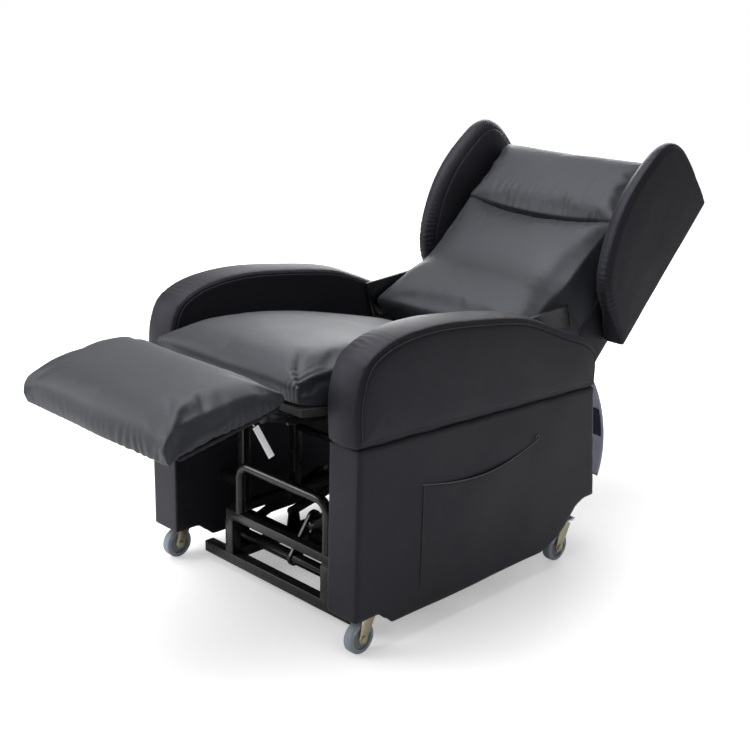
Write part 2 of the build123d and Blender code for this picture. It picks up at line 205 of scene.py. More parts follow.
def makeGrainGroup():
    # pebbled hide: raised cells parted by fine creases, with broad cloudy patches
    inputs = [("Vector", "NodeSocketVector", None), ("Cells", "NodeSocketFloat", 620.0),
              ("Creases", "NodeSocketFloat", 0.5)]
    group, start, end = newGroup("hideGrain", inputs, ("Height", "Clouds", "Pores"))
    cells = addNode(group, "ShaderNodeTexVoronoi", "pebbles", feature="DISTANCE_TO_EDGE")
    group.links.new(start.outputs["Vector"], cells.inputs["Vector"])
    group.links.new(start.outputs["Cells"], cells.inputs["Scale"])
    pebble = ramp(group, cells.outputs["Distance"], 0.0, 0.35)
    fine = noiseNode(group, start.outputs["Vector"], 1500, 3, "fine skin")
    folds = noiseNode(group, start.outputs["Vector"], 38, 4, "stretch marks")
    creased = calc(group, "MULTIPLY", folds, start.outputs["Creases"])
    height = calc(group, "ADD", calc(group, "MULTIPLY", pebble, 0.7), calc(group, "MULTIPLY", fine, 0.3))
    height = calc(group, "ADD", height, creased)
    clouds = ramp(group, noiseNode(group, start.outputs["Vector"], 5.5, 4, "clouds"), 0.3, 0.72)
    group.links.new(height, end.inputs["Height"])
    group.links.new(clouds, end.inputs["Clouds"])
    # the pebble mask, low in the creases, used to paint shade there
    group.links.new(pebble, end.inputs["Pores"])
    return group


def makeWearGroup():
    # rubbed edges and settled dust, as masks
    inputs = [("Vector", "NodeSocketVector", None), ("Rub", "NodeSocketFloat", 0.53),
              ("Dust Scale", "NodeSocketFloat", 9.0)]
    group, start, end = newGroup("wearAndDust", inputs, ("Edge", "Dust"))
    geometry = addNode(group, "ShaderNodeNewGeometry", "edges")
    broken = noiseNode(group, start.outputs["Vector"], 60, 5, "broken edge")
    shifted = calc(group, "ADD", geometry.outputs["Pointiness"], calc(group, "MULTIPLY", broken, 0.06))
    over = calc(group, "SUBTRACT", shifted, start.outputs["Rub"])
    edge = ramp(group, over, 0.02, 0.07)
    upward = addNode(group, "ShaderNodeSeparateXYZ", "up")
    group.links.new(geometry.outputs["Normal"], upward.inputs[0])
    patches = noiseNode(group, start.outputs["Vector"], start.outputs["Dust Scale"], 6, "dust patches")
    settled = ramp(group, upward.outputs["Z"], 0.2, 1.0)
    dust = calc(group, "MULTIPLY", settled, ramp(group, patches, 0.35, 0.8))
    group.links.new(edge, end.inputs["Edge"])
    group.links.new(dust, end.inputs["Dust"])
    return group


def objectPlace(tree):
    return addNode(tree, "ShaderNodeTexCoord", "place").outputs["Object"]


def useGroup(tree, group, vector, **values):
    node = addNode(tree, "ShaderNodeGroup", group.name, node_tree=group)
    tree.links.new(vector, node.inputs["Vector"])
    put(node, values)
    return node


def bumpFrom(tree, shader, height, strength, distance):
    bump = addNode(tree, "ShaderNodeBump", "relief")
    put(bump, {"Strength": strength, "Distance": distance})
    tree.links.new(height, bump.inputs["Height"])
    tree.links.new(bump.outputs["Normal"], shader.inputs["Normal"])


# materials
# painted light: one leather in two copies, the top copy's colours painted lighter as if lit from above, the side
# copy's darker as if in shade
hides = {
    "sideHide": {"deep": (0.0115, 0.0115, 0.0155), "light": (0.018, 0.018, 0.024),
                 "smooth": 0.37, "dull": 0.48, "cells": 640.0, "creases": 0.35,
                 "shine": 0.34, "tint": (0.84, 0.84, 1.0, 1)},
    "topHide": {"deep": (0.020, 0.022, 0.0275), "light": (0.031, 0.034, 0.041),
                "smooth": 0.42, "dull": 0.53, "cells": 560.0, "creases": 0.8,
                "shine": 0.66, "tint": (0.87, 0.92, 1.0, 1)},
}


def hideMaterial(name, look, grain):
    material, tree, shader = newMaterial(name)
    skin = useGroup(tree, grain, objectPlace(tree), Cells=look["cells"], Creases=look["creases"])
    colour = mixColours(tree, skin.outputs["Clouds"], look["deep"], look["light"], "patchy dye")
    # painted shade: the creases between the pebbles are darkened
    creased = mixColours(tree, skin.outputs["Pores"], (0.008, 0.008, 0.01), colour, "dark creases")
    tree.links.new(creased, shader.inputs["Base Color"])
    tree.links.new(mixValues(tree, skin.outputs["Clouds"], look["smooth"], look["dull"], "rubbed sheen"),
                   shader.inputs["Roughness"])
    put(shader, {"Specular IOR Level": look["shine"], "Specular Tint": look["tint"],
                 "Sheen Weight": look["shine"] / 6, "Sheen Roughness": 0.5, "Sheen Tint": look["tint"]})
    bumpFrom(tree, shader, skin.outputs["Height"], 0.55, 0.00045)
    return material


paints = {
    "powderBlack": {"base": (0.007, 0.007, 0.008), "rubbed": (0.014, 0.014, 0.015),
                    "dust": (0.012, 0.012, 0.012), "metallic": 0.0, "rough": (0.2, 0.33),
                    "peel": 420.0, "relief": 0.25, "rub": 0.53},
    "brightZinc": {"base": (0.52, 0.53, 0.55), "rubbed": (0.72, 0.73, 0.75), "dust": (0.3, 0.29, 0.27),
                   "metallic": 1.0, "rough": (0.24, 0.42), "peel": 160.0, "relief": 0.12, "rub": 0.54},
    "yellowZinc": {"base": (0.55, 0.5, 0.34), "rubbed": (0.74, 0.73, 0.68), "dust": (0.33, 0.3, 0.22),
                   "metallic": 1.0, "rough": (0.24, 0.4), "peel": 130.0, "relief": 0.12, "rub": 0.54},
    "mouldedBlack": {"base": (0.018, 0.018, 0.019), "rubbed": (0.045, 0.045, 0.048),
                     "dust": (0.09, 0.088, 0.083), "metallic": 0.0, "rough": (0.46, 0.6),
                     "peel": 1400.0, "relief": 0.5, "rub": 0.55},
    "rubberBlack": {"base": (0.02, 0.02, 0.02), "rubbed": (0.05, 0.05, 0.05), "dust": (0.11, 0.105, 0.1),
                    "metallic": 0.0, "rough": (0.62, 0.8), "peel": 700.0, "relief": 0.4, "rub": 0.56},
    "treadGrey": {"base": (0.30, 0.34, 0.39), "rubbed": (0.42, 0.46, 0.5), "dust": (0.16, 0.155, 0.14),
                  "metallic": 0.0, "rough": (0.45, 0.62), "peel": 500.0, "relief": 0.3, "rub": 0.55},
    "discGrey": {"base": (0.21, 0.22, 0.2), "rubbed": (0.34, 0.35, 0.33), "dust": (0.13, 0.12, 0.1),
                 "metallic": 0.0, "rough": (0.38, 0.55), "peel": 500.0, "relief": 0.25, "rub": 0.55},
    "cardWhite": {"base": (0.78, 0.78, 0.8), "rubbed": (0.86, 0.86, 0.87), "dust": (0.6, 0.59, 0.57),
                  "metallic": 0.0, "rough": (0.4, 0.55), "peel": 900.0, "relief": 0.15, "rub": 0.56},
}


def paintMaterial(name, look, wear):
    material, tree, shader = newMaterial(name)
    place = objectPlace(tree)
    worn = useGroup(tree, wear, place, Rub=look["rub"])
    base = mixColours(tree, worn.outputs["Edge"], look["base"], look["rubbed"], "rubbed edges")
    dusty = calc(tree, "MULTIPLY", worn.outputs["Dust"], 0.35, "thin dust")
    tree.links.new(mixColours(tree, dusty, base, look["dust"], "dust"), shader.inputs["Base Color"])
    smudge = ramp(tree, noiseNode(tree, place, 14, 5, "smudges"), 0.3, 0.75)
    tree.links.new(mixValues(tree, smudge, *look["rough"], "smudged gloss"), shader.inputs["Roughness"])
    shader.inputs["Metallic"].default_value = look["metallic"]
    bumpFrom(tree, shader, noiseNode(tree, place, look["peel"], 3, "skin"), look["relief"], 0.0003)
    return material


threads = {"seamThread": (0.05, 0.052, 0.06), "hemThread": (0.16, 0.165, 0.19)}
threadGap, threadPitch = (0.012, 0.012, 0.014), 0.0042


def threadMaterial(name, colour):
    # stitches: the tube's own length attribute is cut into short twists
    material, tree, shader = newMaterial(name)
    along = addNode(tree, "ShaderNodeAttribute", "length along the seam", attribute_name="along")
    turns = calc(tree, "MULTIPLY", along.outputs["Fac"], 2 * math.pi / threadPitch)
    wave = calc(tree, "SINE", turns, 0.0)
    stitch = ramp(tree, wave, -0.75, -0.2)
    tree.links.new(mixColours(tree, stitch, threadGap, colour, "stitches"), shader.inputs["Base Color"])
    tree.links.new(mixValues(tree, stitch, 0.75, 0.5), shader.inputs["Roughness"])
    bumpFrom(tree, shader, wave, 0.6, 0.0005)
    return material


threadsPerMetre = 1500.0
weave = {  # dark and light dye of each cloth
    "navyCloth": ((0.012, 0.014, 0.035), (0.022, 0.025, 0.06)),
    "liningCloth": ((0.62, 0.62, 0.82), (0.74, 0.74, 0.94)),
    "patchCloth": ((0.012, 0.018, 0.075), (0.022, 0.025, 0.06)),
    "underlayCloth": ((0.010, 0.010, 0.011), (0.02, 0.02, 0.021)),
}


def wovenMaterial(name, dark, light):
    material, tree, shader = newMaterial(name)
    place = objectPlace(tree)
    split = addNode(tree, "ShaderNodeSeparateXYZ", "warp and weft")
    tree.links.new(place, split.inputs[0])
    warp, weft = (calc(tree, "SINE", calc(tree, "MULTIPLY", split.outputs[axis], threadsPerMetre * 2), 0.0)
                  for axis in "XZ")
    crossing = calc(tree, "MULTIPLY", warp, weft, "plain weave")
    slub = ramp(tree, noiseNode(tree, place, 26, 4, "slubs"), 0.3, 0.7)
    tree.links.new(mixColours(tree, slub, dark, light, "uneven dye"), shader.inputs["Base Color"])
    tree.links.new(mixValues(tree, slub, 0.72, 0.86), shader.inputs["Roughness"])
    put(shader, {"Sheen Weight": 0.25, "Sheen Roughness": 0.4})
    bumpFrom(tree, shader, crossing, 0.5, 0.0003)
    return material


def floorMaterial():
    material, tree, shader = newMaterial("paleFloor")
    cloudy = ramp(tree, noiseNode(tree, objectPlace(tree), 1.5, 3, "faint clouds"), 0.3, 0.7)
    tree.links.new(mixColours(tree, cloudy, (0.9, 0.9, 0.9), (0.93, 0.93, 0.93)), shader.inputs["Base Color"])
    shader.inputs["Roughness"].default_value = 0.75
    # painted light: the floor glows to camera rays only, more and more away from the chair, so the paper sweep
    # looks evenly lit far off
    away = addNode(tree, "ShaderNodeVectorMath", "distance from the chair", operation="LENGTH")
    tree.links.new(objectPlace(tree), away.inputs[0])
    glow = addNode(tree, "ShaderNodeMapRange", "even light far away")
    put(glow, {"From Min": 0.3, "From Max": 2.2, "To Min": floorGlow["near"], "To Max": floorGlow["far"]})
    tree.links.new(away.outputs["Value"], glow.inputs["Value"])
    seen = tree.nodes.new("ShaderNodeLightPath")
    tree.links.new(calc(tree, "MULTIPLY", glow.outputs["Result"], seen.outputs["Is Camera Ray"]),
                   shader.inputs["Emission Strength"])
    shader.inputs["Emission Color"].default_value = (1, 1, 1, 1)
    return material


def makeMaterials():
    grain, wear = makeGrainGroup(), makeWearGroup()
    made = {name: hideMaterial(name, look, grain) for name, look in hides.items()}
    made.update({name: paintMaterial(name, look, wear) for name, look in paints.items()})
    made.update({name: threadMaterial(name, colour) for name, colour in threads.items()})
    made.update({name: wovenMaterial(name, *dyes) for name, dyes in weave.items()})
    made["paleFloor"] = floorMaterial()
    return made


makeCamera()
makeLights()
materials = makeMaterials()
print("view, lights and materials made")


# mesh helpers
def deselectAll():
    for ob in bpy.context.selected_objects:
        ob.select_set(False)


def activate(ob):
    deselectAll()
    ob.select_set(True)
    bpy.context.view_layer.objects.active = ob


def newObject(name, mesh):
    ob = bpy.data.objects.new(name, mesh)
    scene.collection.objects.link(ob)
    return ob


def applyModifier(ob, kind, **settings):
    activate(ob)
    modifier = ob.modifiers.new(kind.title(), kind)
    for key, value in settings.items():
        setattr(modifier, key, value)
    bpy.ops.object.modifier_apply(modifier=modifier.name)


def meshObject(name, verts, faces):
    mesh = bpy.data.meshes.new(name)
    mesh.from_pydata([tuple(v) for v in verts], [], faces)
    return newObject(name, mesh)


def gridObject(name, verts, rows, columns):
    # a sheet of squares through rows of points
    faces = [(a, a + 1, a + columns + 1, a + columns)
             for r in range(rows - 1) for a in range(r * columns, r * columns + columns - 1)]
    return meshObject(name, verts, faces)


def relax(ob, passes):
    applyModifier(ob, "SMOOTH", factor=0.5, iterations=passes)


def subdivide(ob):
    applyModifier(ob, "SUBSURF", levels=1, render_levels=1)


def points(ob, kind="co"):
    values = np.empty(len(ob.data.vertices) * 3)
    ob.data.vertices.foreach_get(kind, values)
    return values.reshape(-1, 3)


def normals(ob):
    return points(ob, "normal")


def movePoints(ob, places):
    ob.data.vertices.foreach_set("co", np.ascontiguousarray(places).ravel())
    ob.data.update()


def smoothShade(ob):
    ob.data.polygons.foreach_set("use_smooth", [True] * len(ob.data.polygons))


def finishPiece(ob, body, slot, *mats):
    # the same last steps for every new piece
    ob.data.materials.clear()
    for name in mats:
        ob.data.materials.append(materials[name])
    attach(ob, body)
    return ob


def mirrorCopy(ob, name):
    mesh = ob.data.copy()
    mesh.transform(Matrix.Scale(-1, 4, (1, 0, 0)))
    mesh.flip_normals()
    return newObject(name, mesh)


def smoothStep(values, low, high):
    t = np.clip((values - low) / (high - low), 0, 1)
    return t * t * (3 - 2 * t)


def ripple(places, size, seed, waves=14):
    # smooth repeatable unevenness from -1 to 1, about size metres from bump to bump
    rng = np.random.default_rng(seed)
    directions = rng.normal(size=(waves, 3))
    directions /= np.linalg.norm(directions, axis=1)[:, None]
    lengths = rng.uniform(0.75, 1.6, waves)
    phases = rng.uniform(0, 2 * math.pi, waves)
    total = np.sin(places @ (directions / lengths[:, None]).T * (2 * math.pi / size) + phases).sum(axis=1)
    return total / math.sqrt(waves * 2)


def closedCopy(node, name):
    # a CAD node's mesh as its own closed object
    mesh = nodes[node].data.copy()
    ob = newObject(name, mesh)
    work = bmesh.new()
    work.from_mesh(mesh)
    bmesh.ops.remove_doubles(work, verts=work.verts, dist=1e-5)
    bmesh.ops.dissolve_limit(work, angle_limit=math.radians(1), verts=work.verts, edges=work.edges)
    work.to_mesh(mesh)
    work.free()
    return ob


def sideOutline(node):
    # the ordered (y, z) corners of a CAD solid's left face, and its x limits
    work = bmesh.new()
    work.from_mesh(nodes[node].data)
    bmesh.ops.remove_doubles(work, verts=work.verts, dist=1e-5)
    cap = {f for f in work.faces if f.normal.x > 0.999}
    rim = [e for e in work.edges if sum(f in cap for f in e.link_faces) == 1]
    following = {}
    for edge in rim:
        for a, b in (edge.verts, reversed(edge.verts)):
            following.setdefault(a, []).append(b)
    start = rim[0].verts[0]
    loop, last, here = [start], None, start
    while True:
        onward = [v for v in following[here] if v is not last][0]
        if onward is start:
            break
        loop.append(onward)
        last, here = here, onward
    outline = np.array([(v.co.y, v.co.z) for v in loop])
    low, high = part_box(node)
    work.free()
    onwards = np.roll(outline, -1, axis=0)
    if (outline[:, 0] * onwards[:, 1] - onwards[:, 0] * outline[:, 1]).sum() < 0:
        outline = outline[::-1]
    # points in line are dropped
    before, after = outline - np.roll(outline, 1, axis=0), np.roll(outline, -1, axis=0) - outline
    turn = before[:, 0] * after[:, 1] - before[:, 1] * after[:, 0]
    size = np.linalg.norm(before, axis=1) * np.linalg.norm(after, axis=1)
    return outline[np.abs(turn) > size * 0.01], low.x, high.x


def between(p, q, start, end, t):
    return p * (end - t) / (end - start) + q * (t - start) / (end - start)


def curvedOutline(corners, sharp, step=0.006):
    # a smooth curve through the corners, kept sharp where the outline turns more than sharp degrees
    count = len(corners)
    before = corners - np.roll(corners, 1, axis=0)
    after = np.roll(corners, -1, axis=0) - corners
    angles = np.degrees(np.arctan2(before[:, 0] * after[:, 1] - before[:, 1] * after[:, 0],
                                   (before * after).sum(axis=1)))
    isSharp = np.abs(angles) > sharp
    result = []
    for i in range(count):
        p0, p1, p2, p3 = (corners[(i + k) % count] for k in (-1, 0, 1, 2))
        if isSharp[i]:
            p0 = 2 * p1 - p2
        if isSharp[(i + 1) % count]:
            p3 = 2 * p2 - p1
        steps = max(2, int(np.linalg.norm(p2 - p1) / step))
        knots = [0.0]
        for a, b in ((p0, p1), (p1, p2), (p2, p3)):
            knots.append(knots[-1] + max(np.linalg.norm(b - a), 1e-6) ** 0.5)
        t0, t1, t2, t3 = knots
        for t in np.linspace(t1, t2, steps, endpoint=False):
            a1, a2, a3 = between(p0, p1, t0, t1, t), between(p1, p2, t1, t2, t), between(p2, p3, t2, t3, t)
            b1, b2 = between(a1, a2, t0, t2, t), between(a2, a3, t1, t3, t)
            result.append(between(b1, b2, t1, t2, t))
    return np.array(result)


def prism(name, outline, x0, x1):
    # a closed block of that side outline
    count = len(outline)
    verts = [(x0, y, z) for y, z in outline] + [(x1, y, z) for y, z in outline]
    faces = [tuple(range(count))[::-1], tuple(range(count, 2 * count))]
    faces += [(i, (i + 1) % count, count + (i + 1) % count, count + i) for i in range(count)]
    ob = meshObject(name, verts, faces)
    activate(ob)
    bpy.ops.object.mode_set(mode="EDIT")
    bpy.ops.mesh.select_all(action="SELECT")
    bpy.ops.mesh.normals_make_consistent(inside=False)
    bpy.ops.object.mode_set(mode="OBJECT")
    return ob


def nearest(places, outline):
    # how far inside an outline each point is, and the inward direction there
    a = outline
    b = np.roll(outline, -1, axis=0)
    run = b - a
    inwards = np.stack([-run[:, 1], run[:, 0]], axis=1)
    inwards /= np.linalg.norm(inwards, axis=1)[:, None]
    depth = np.empty(len(places))
    inward = np.empty((len(places), 2))
    where = np.empty((len(places), 2))
    for i in range(0, len(places), 4000):
        p = places[i:i + 4000, 1:3]
        t = np.clip(((p[:, None] - a) * run).sum(2) / (run ** 2).sum(1), 0, 1)
        gap = p[:, None] - (a + t[..., None] * run)
        k = (gap ** 2).sum(2).argmin(1)
        rows = np.arange(len(p))
        inward[i:i + 4000] = inwards[k]
        side = np.sign((gap[rows, k] * inwards[k]).sum(1) + 1e-9)
        depth[i:i + 4000] = np.linalg.norm(gap[rows, k], axis=1) * side
        where[i:i + 4000] = (a + t[..., None] * run)[rows, k]
    return depth, inward, where


def roundEdges(places, outline, x0, x1, rollLow, rollHigh):
    # turns the square edges of a block into rolls; each roll is (its depth in the outline, its width in x)
    depth, inward, _ = nearest(places, outline)
    depth = np.maximum(depth, 0)
    result = places.copy()
    for side, wall, (deep, wide) in ((-1, x0, rollLow), (1, x1, rollHigh)):
        fromEdge = np.clip((deep - depth) / deep, 0, 1)
        fromFace = np.clip((side * (places[:, 0] - wall) + wide) / wide, 0, 1.2)
        shrink = np.maximum(fromEdge, fromFace) / np.maximum(np.hypot(fromEdge, fromFace), 1e-6)
        newDepth = deep - fromEdge * shrink * deep
        newX = wall + side * (fromFace * shrink * wide - wide)
        moved = (fromEdge > 0) & (fromFace > 0) & (shrink < 1)
        result[moved, 1:3] += (inward * (newDepth - depth)[:, None])[moved]
        result[moved, 0] = newX[moved]
    return result


def lengthsAlong(path):
    return np.concatenate([[0], np.cumsum(np.linalg.norm(np.diff(path, axis=0), axis=1))])


def threadAlong(name, path, radius, sides=6):
    # a thin round thread along a list of points, with its length kept in an attribute
    path = np.asarray(path, float)
    run = np.gradient(path, axis=0)
    run /= np.linalg.norm(run, axis=1)[:, None]
    guide = np.tile(np.array([1.0, 0.0, 0.0]), (len(path), 1))
    guide[np.abs(run[:, 0]) > 0.9] = (0.0, 0.0, 1.0)
    side = np.cross(run, guide)
    side /= np.linalg.norm(side, axis=1)[:, None]
    other = np.cross(run, side)
    verts, faces = [], []
    for i in range(len(path)):
        for k in range(sides):
            turn = 2 * math.pi * k / sides
            verts.append(path[i] + radius * (math.cos(turn) * side[i] + math.sin(turn) * other[i]))
    for i in range(len(path) - 1):
        for k in range(sides):
            a, b = i * sides + k, i * sides + (k + 1) % sides
            faces.append((a, b, b + sides, a + sides))
    last = (len(path) - 1) * sides
    faces.append(tuple(range(sides))[::-1])
    faces.append(tuple(range(last, last + sides)))
    ob = meshObject(name, verts, faces)
    along = ob.data.attributes.new("along", "FLOAT", "POINT")
    along.data.foreach_set("value", np.repeat(lengthsAlong(path), sides))
    smoothShade(ob)
    return ob


def joinPieces(name, pieces):
    activate(pieces[0])
    for ob in pieces[1:]:
        ob.select_set(True)
    bpy.ops.object.join()
    pieces[0].name = name
    return pieces[0]


coverCloth = {"quality": 4, "mass": 0.3, "tension_stiffness": 7, "compression_stiffness": 7,
              "shear_stiffness": 3, "bending_stiffness": 1.5, "use_pressure": True,
              "vertex_group_mass": "held"}
coverFrames, coverSmoothing = 20, 8


def inflate(ob, pressure, cap, held, slack=0.0):
    # blows the cover up like a stuffed cushion and keeps the result
    start = points(ob)
    group = ob.vertex_groups.new(name="held")
    group.add([int(i) for i in np.nonzero(held)[0]], 1.0, "REPLACE")
    cloth = ob.modifiers.new("cover", "CLOTH")
    for key, value in coverCloth.items():
        setattr(cloth.settings, key, value)
    cloth.settings.uniform_pressure_force = pressure
    cloth.settings.effector_weights.gravity = 0
    cloth.settings.shrink_min = -slack
    cloth.point_cache.frame_start, cloth.point_cache.frame_end = 1, coverFrames
    for step in range(1, coverFrames + 1):
        scene.frame_set(step)
    activate(ob)
    bpy.ops.object.modifier_apply(modifier=cloth.name)
    scene.frame_set(1)
    ob.vertex_groups.clear()
    moved = points(ob) - start
    length = np.linalg.norm(moved, axis=1)
    soft = cap * np.tanh(length / cap)
    movePoints(ob, start + moved * (soft / np.maximum(length, 1e-9))[:, None])
    relax(ob, coverSmoothing)


def softBlock(name, node, sharp, voxel):
    # an evenly meshed block of a CAD node's side outline, with that outline and its limits
    corners, x0, x1 = sideOutline(node)
    outline = curvedOutline(corners, sharp)
    ob = prism(name, outline, x0, x1)
    applyModifier(ob, "REMESH", mode="VOXEL", voxel_size=voxel)
    return ob, corners, outline, x0, x1


# the back's own directions
backFoot = np.array([0.53325, 0.528])
backTilt = math.radians(45)
backUp = np.array([math.cos(backTilt), math.sin(backTilt)])
backOut = np.array([-math.sin(backTilt), math.cos(backTilt)])


def toBack(places):
    # (x, along the back, out from it) of points in the frame
    flat = places[:, 1:3] - backFoot
    return np.stack([places[:, 0], flat @ backUp, flat @ backOut], axis=1)


def fromBack(local):
    flat = backFoot + local[:, 1:2] * backUp + local[:, 2:3] * backOut
    return np.column_stack([local[:, 0], flat])


# seat cushion
seatLook = {"sharp": 62, "voxel": 0.0068, "inset": 0.003, "sideDrop": 0.010, "dropTo": 0.07, "passes": 9,
            "pressure": 4.2, "cap": 0.018, "heldTo": 0.012, "gathers": 0.0013, "creases": 0.0012,
            "swell": 0.0016, "sideLimit": 0.2685, "cornerPull": 0.008, "deckThickness": 0.018}


def shapePad(name, node, look, above, reshape):
    # shapes a pad that lies on a board; above gives each point's height over the board
    ob, _, _, _, x1 = softBlock(name, node, look["sharp"], look["voxel"])
    places = points(ob)
    share = np.abs(places[:, 0]) / x1
    places[:, 2] -= look["sideDrop"] * share ** 3 * smoothStep(above(places), 0.02, look["dropTo"])
    reshape(places, share)
    movePoints(ob, places)
    relax(ob, look["passes"])
    movePoints(ob, points(ob) - normals(ob) * look["inset"])
    inflate(ob, look["pressure"], look["cap"], above(points(ob)) < look["heldTo"])
    subdivide(ob)
    places = points(ob)
    return ob, places, normals(ob), np.abs(places[:, 0]) / x1


def makeSeat():
    low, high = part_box("seat_deck")
    slope = (high.z - seatLook["deckThickness"] - low.z) / (high.y - low.y)

    def above(places):
        return places[:, 2] - (high.z - slope * (places[:, 1] - low.y))

    def reshape(places, share):
        front = 1 - smoothStep(places[:, 1], places[:, 1].min(), places[:, 1].min() + 0.09)
        places[:, 1] += seatLook["cornerPull"] * share ** 4 * front

    ob, places, outward, share = shapePad("seatCushion", "seat_cushion", seatLook, above, reshape)
    # gathers where the cover is drawn round the front corners, and soft creases across the seat
    frontY = places[:, 1].min()
    corner = smoothStep(share, 0.72, 0.98) * (1 - smoothStep(places[:, 1], frontY + 0.03, frontY + 0.14))
    gather = np.sin(places[:, 0] * 520 + 2.2 * ripple(places, 0.05, 3)) * corner
    crease = np.clip(ripple(places * [1.0, 0.25, 1.0], 0.055, 5) - 0.55, 0, None)
    crease = crease * smoothStep(share, 0.35, 0.9)
    shift = seatLook["gathers"] * gather - seatLook["creases"] * crease
    shift = shift + seatLook["swell"] * ripple(places, 0.28, 8)
    places = places + outward * shift[:, None]
    places[:, 0] = np.clip(places[:, 0], -seatLook["sideLimit"], seatLook["sideLimit"])
    movePoints(ob, places)
    smoothShade(ob)
    finishPiece(ob, "chair", "top_leather", "topHide")
    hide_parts("seat_cushion")


# back cushion and head pillow
backLook = {"sharp": 62, "voxel": 0.0068, "sideDrop": 0.013, "sag": 0.026, "meet": 0.013, "pressure": 4.4,
            "cap": 0.017, "gathers": 0.0013, "creases": 0.0011, "swell": 0.0016, "sideLimit": 0.2685,
            "pillowShare": 0.3, "seamRise": 0.008}


def smileSag(x, half):
    # how far the seam between cushion and pillow dips towards its middle
    return backLook["sag"] * (1 - (x / half) ** 2) - backLook["seamRise"]


def makeBackPads():
    seamAlong = {"backCushion": 0.238, "headPillow": 0.240}
    for name, node in (("backCushion", "back_cushion"), ("headPillow", "head_pillow")):
        ob, _, _, _, x1 = softBlock(name, node, backLook["sharp"], backLook["voxel"])
        local = toBack(points(ob))
        share = np.abs(local[:, 0]) / x1
        cushion = name == "backCushion"
        drop = backLook["sideDrop"] * (1 if cushion else backLook["pillowShare"])
        if cushion:
            blendIn = smoothStep(local[:, 1], 0.06, seamAlong[name])
        else:
            blendIn = 1 - smoothStep(local[:, 1], seamAlong[name], 0.36)
        local[:, 2] -= drop * share ** 2.6 * smoothStep(local[:, 2], 0.09, 0.2)
        if cushion:
            low = 1 - smoothStep(local[:, 1], -0.15, -0.02)
            local[:, 1] += blendIn * backLook["meet"] + 0.004 * share ** 3 * low
            local[:, 0] *= 1 + 0.02 * low
        else:
            local[:, 1] -= blendIn * backLook["meet"]
        local[:, 1] -= blendIn * smileSag(local[:, 0], x1)
        movePoints(ob, fromBack(local))
        relax(ob, 12)
        movePoints(ob, points(ob) - normals(ob) * 0.004)
        local = toBack(points(ob))
        inflate(ob, backLook["pressure"], backLook["cap"], local[:, 2] < 0.085, slack=0.003)
        subdivide(ob)
        places, outward = points(ob), normals(ob)
        local = toBack(places)
        # puckers run up and down from the smile seam
        fromSeam = np.abs(local[:, 1] - (seamAlong[name] - smileSag(local[:, 0], x1)))
        strength = np.exp(-fromSeam / 0.045) * (0.55 + 0.45 * ripple(places, 0.09, 11))
        gather = np.sin(local[:, 0] * 240 + 2.6 * ripple(local * [1, 0.3, 1], 0.06, 12)) * strength
        facing = smoothStep(outward[:, 1] * backOut[0] + outward[:, 2] * backOut[1], 0.1, 0.6)
        crease = np.clip(ripple(local * [1.0, 0.3, 1.0], 0.05, 15) - 0.6, 0, None)
        shift = backLook["gathers"] * gather * facing - backLook["creases"] * crease * facing
        shift = shift + backLook["swell"] * ripple(places, 0.25, 18)
        places = places + outward * shift[:, None]
        places[:, 0] = np.clip(places[:, 0], -backLook["sideLimit"], backLook["sideLimit"])
        movePoints(ob, places)
        smoothShade(ob)
        finishPiece(ob, "back", "top_leather", "topHide")
        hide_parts(node)


# legrest cushion
legrestLook = {"sharp": 62, "voxel": 0.006, "inset": 0.003, "sideDrop": 0.008, "dropTo": 0.06, "passes": 10,
               "pressure": 4.4, "cap": 0.018, "heldTo": 0.01, "gathers": 0.0011, "creases": 0.001,
               "swell": 0.0014, "fuller": (1.02, 1.045)}


def makeLegrestPad():
    low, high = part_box("legrest_board")
    tilt = (high.z - low.z) / (high.y - low.y)

    def above(places):
        return places[:, 2] - (low.z + tilt * (places[:, 1] - low.y))

    def reshape(places, share):
        wider, longer = legrestLook["fuller"]
        places[:, 0] *= wider
        places[:, 1] = high.y + (places[:, 1] - high.y) * longer

    ob, places, outward, share = shapePad("legrestCushion", "legrest_cushion", legrestLook, above, reshape)
    frontY = places[:, 1].min()
    lowerFront = 1 - smoothStep(places[:, 1], frontY + 0.02, frontY + 0.10)
    lowerFront = lowerFront * (1 - smoothStep(above(places), 0.02, 0.075))
    gather = np.sin(places[:, 0] * 260 + 3.0 * ripple(places, 0.07, 21)) * lowerFront
    gather *= 0.5 + 0.5 * ripple(places, 0.12, 22)
    sides = smoothStep(share, 0.85, 0.99) * (1 - smoothStep(above(places), 0.01, 0.06))
    sideGather = np.sin(places[:, 1] * 300 + 2.5 * ripple(places, 0.06, 23)) * sides
    crease = np.clip(ripple(places * [1.0, 0.4, 1.0], 0.06, 25) - 0.62, 0, None)
    crease = crease * smoothStep(share, 0.3, 0.9)
    shift = legrestLook["gathers"] * (gather + 0.6 * sideGather) - legrestLook["creases"] * crease
    movePoints(ob, places + outward * (shift + legrestLook["swell"] * ripple(places, 0.22, 28))[:, None])
    smoothShade(ob)
    finishPiece(ob, "legrest", "top_leather", "topHide")
    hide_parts("legrest_cushion")


# arms
armLook = {"sharp": 40, "voxel": 0.006, "roll": 0.009, "stripCrown": 0.0085, "faceCrown": 0.007,
           "innerCrown": 0.0, "seamInset": 0.010, "seamDepth": 0.0020, "threadRadius": 0.0010,
           "pucker": 0.0004}


def offsetOutline(outline, amount):
    before, after = outline - np.roll(outline, 1, axis=0), np.roll(outline, -1, axis=0) - outline
    run = before / np.linalg.norm(before, axis=1)[:, None] + after / np.linalg.norm(after, axis=1)[:, None]
    run /= np.linalg.norm(run, axis=1)[:, None]
    return outline + np.stack([-run[:, 1], run[:, 0]], axis=1) * amount


